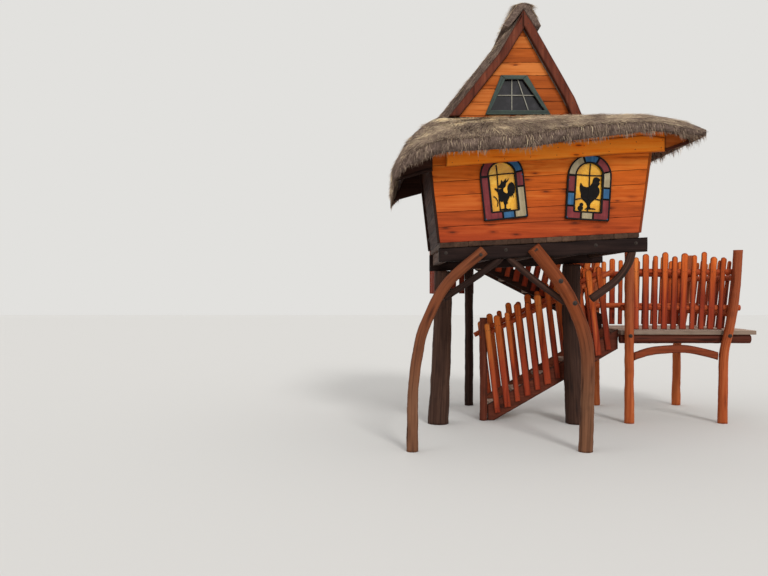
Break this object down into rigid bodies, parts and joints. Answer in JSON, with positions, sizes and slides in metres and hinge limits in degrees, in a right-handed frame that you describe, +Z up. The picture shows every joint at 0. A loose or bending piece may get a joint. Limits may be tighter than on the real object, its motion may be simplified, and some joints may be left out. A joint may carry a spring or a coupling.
{
  "type": "tree house",
  "caption": "Crooked timber tree house: a leaning orange cabin under a shaggy thatched roof, on a platform with bent log legs, and a picket-railed stair and landing behind it.",
  "frame": {"origin": "centre of the main crooked leg's foot, on the ground under the front of the cabin", "axes": "+X to the right along the cabin's front, +Y from the front to the back, +Z up"},
  "size_m": [4.43, 3.3122, 4.57],
  "materials": {
    "weathered_beam": "oiled, weathered",
    "dark_timber": "oiled, weathered",
    "floor_timber": "oiled, weathered",
    "orange_boards": "oiled, weathered",
    "fascia_timber": "oiled, weathered",
    "verge_timber": "oiled, weathered",
    "orange_log": "oiled, weathered",
    "landing_log": "oiled, weathered",
    "picket_timber": "oiled, weathered",
    "deck_timber": "oiled, weathered",
    "thatch": "dry, shaggy",
    "green_frame": "painted",
    "stained_border": "painted",
    "pane_glass": "opaque stained",
    "black_figure": "matt"
  },
  "bodies": {
    "root": {"platform_beams": "weathered_beam", "platform_joists": "dark_timber", "cabin_floor": "floor_timber", "front_wall": "orange_boards", "rear_wall_left": "orange_boards", "rear_wall_right": "orange_boards", "rear_wall_over_door": "orange_boards", "left_wall": "orange_boards", "right_wall": "orange_boards", "corner_boards": "fascia_timber", "fascia_boards": "fascia_timber", "thatch_left": "thatch", "thatch_right": "thatch", "thatch_front": "thatch", "thatch_rear": "thatch", "thatch_ridge": "thatch", "front_gable": "orange_boards", "rear_gable": "orange_boards", "gable_window_frame": "green_frame", "verge_boards": "verge_timber", "eave_cheeks": "orange_boards", "left_window_frame": "stained_border", "right_window_frame": "stained_border", "window_panes": "pane_glass", "rooster_figure": "black_figure", "hen_figure": "black_figure", "front_right_leg": "orange_log", "front_left_leg": "orange_log", "rear_posts": "dark_timber", "leg_braces": "dark_timber", "landing_deck": "deck_timber", "landing_beams": "landing_log", "landing_front_posts": "landing_log", "landing_rear_posts": "landing_log", "landing_front_railing": "picket_timber", "landing_rear_railing": "picket_timber", "landing_end_railing": "picket_timber", "lower_strings": "landing_log", "lower_treads": "deck_timber", "lower_front_railing": "picket_timber", "lower_rear_railing": "picket_timber", "upper_strings": "landing_log", "upper_treads": "deck_timber", "upper_front_railing": "picket_timber", "upper_rear_railing": "picket_timber", "gallery_deck": "floor_timber", "gallery_beams": "dark_timber", "gallery_railing": "picket_timber"}
  },
  "joints": []
}
